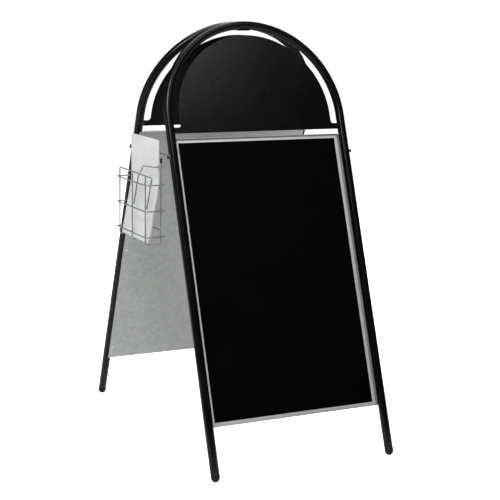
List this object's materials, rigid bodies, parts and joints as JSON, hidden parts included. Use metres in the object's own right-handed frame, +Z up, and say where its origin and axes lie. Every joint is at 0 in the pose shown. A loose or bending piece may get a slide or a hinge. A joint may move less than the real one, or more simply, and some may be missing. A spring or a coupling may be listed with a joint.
{
  "type": "sandwich board",
  "caption": "Folding A-shaped pavement board with arched tube frames, black header and poster panels, and a wire leaflet holder on one side.",
  "frame": {"origin": "on the ground under the middle of the whole object's box", "axes": "+Z up, the front panel faces -Y, the leaflet holder is on the -X side"},
  "size_m": [0.6428, 0.9206, 1.22],
  "materials": {
    "powder_coat_black": "semi-gloss powder coat",
    "galvanised_steel": "dull mottled zinc",
    "poster_black": "printed sheet, matt",
    "border_white": "matt magnetic strip",
    "clear_cover": "clear flexible sheet",
    "plug_plastic": "moulded plastic",
    "bolt_black": "black-finished steel",
    "zinc_plate": "bright zinc",
    "chrome_wire": "bright plated wire",
    "sleeve_rubber": "matt rubber",
    "leaflet_paper": "plain uncoated paper"
  },
  "bodies": {
    "front_frame": {"front_tube": "powder_coat_black", "front_header": "powder_coat_black", "front_sheet": "galvanised_steel", "front_poster": "poster_black", "front_rivet_1": "zinc_plate", "front_rivet_2": "zinc_plate", "front_rivet_3": "zinc_plate", "front_rivet_4": "zinc_plate", "front_rivet_5": "zinc_plate", "front_rivet_6": "zinc_plate", "front_foot_left": "plug_plastic", "front_bolt_left": "bolt_black", "front_rivnut_left": "zinc_plate", "front_foot_right": "plug_plastic", "front_bolt_right": "bolt_black", "front_rivnut_right": "zinc_plate", "hinge_front_leaf": "powder_coat_black", "hinge_pin": "zinc_plate"},
    "rear_frame": {"rear_tube": "powder_coat_black", "rear_header": "powder_coat_black", "rear_sheet": "galvanised_steel", "rear_poster": "poster_black", "rear_rivet_1": "zinc_plate", "rear_rivet_2": "zinc_plate", "rear_rivet_3": "zinc_plate", "rear_rivet_4": "zinc_plate", "rear_rivet_5": "zinc_plate", "rear_rivet_6": "zinc_plate", "rear_foot_left": "plug_plastic", "rear_bolt_left": "bolt_black", "rear_rivnut_left": "zinc_plate", "rear_foot_right": "plug_plastic", "rear_bolt_right": "bolt_black", "rear_rivnut_right": "zinc_plate", "hinge_rear_leaf": "powder_coat_black"},
    "front_cover": {"front_border": "border_white", "front_cover": "clear_cover"},
    "rear_cover": {"rear_border": "border_white", "rear_cover": "clear_cover"},
    "holder": {"holder_rail_1": "chrome_wire", "holder_rail_2": "chrome_wire", "holder_rail_3": "chrome_wire", "holder_front_wire": "chrome_wire", "holder_middle_wire": "chrome_wire", "holder_rear_wire": "chrome_wire", "holder_bar": "chrome_wire", "holder_cross_upper": "chrome_wire", "holder_cross_lower": "chrome_wire", "holder_retainer": "chrome_wire", "holder_sleeve": "sleeve_rubber"},
    "leaflets": {"leaflets": "leaflet_paper"}
  },
  "joints": [
    {"name": "fold", "type": "hinge", "parent": "front_frame", "child": "rear_frame", "pos_m": [0.02715, 0, 1.19541], "axis": [-1, 0, 0], "range_deg": [0, 40]},
    {"name": "front_cover_pull", "type": "slide", "parent": "front_frame", "child": "front_cover", "axis": [0, -0.9397, 0.342], "range_m": [0, 0.05]},
    {"name": "rear_cover_pull", "type": "slide", "parent": "rear_frame", "child": "rear_cover", "axis": [0, 0.9397, 0.342], "range_m": [0, 0.05]},
    {"name": "holder_lift", "type": "slide", "parent": "front_frame", "child": "holder", "axis": [0, 0, 1], "range_m": [0, 0.04]},
    {"name": "leaflets_pull", "type": "slide", "parent": "holder", "child": "leaflets", "axis": [0, 0, 1], "range_m": [0, 0.06]}
  ]
}
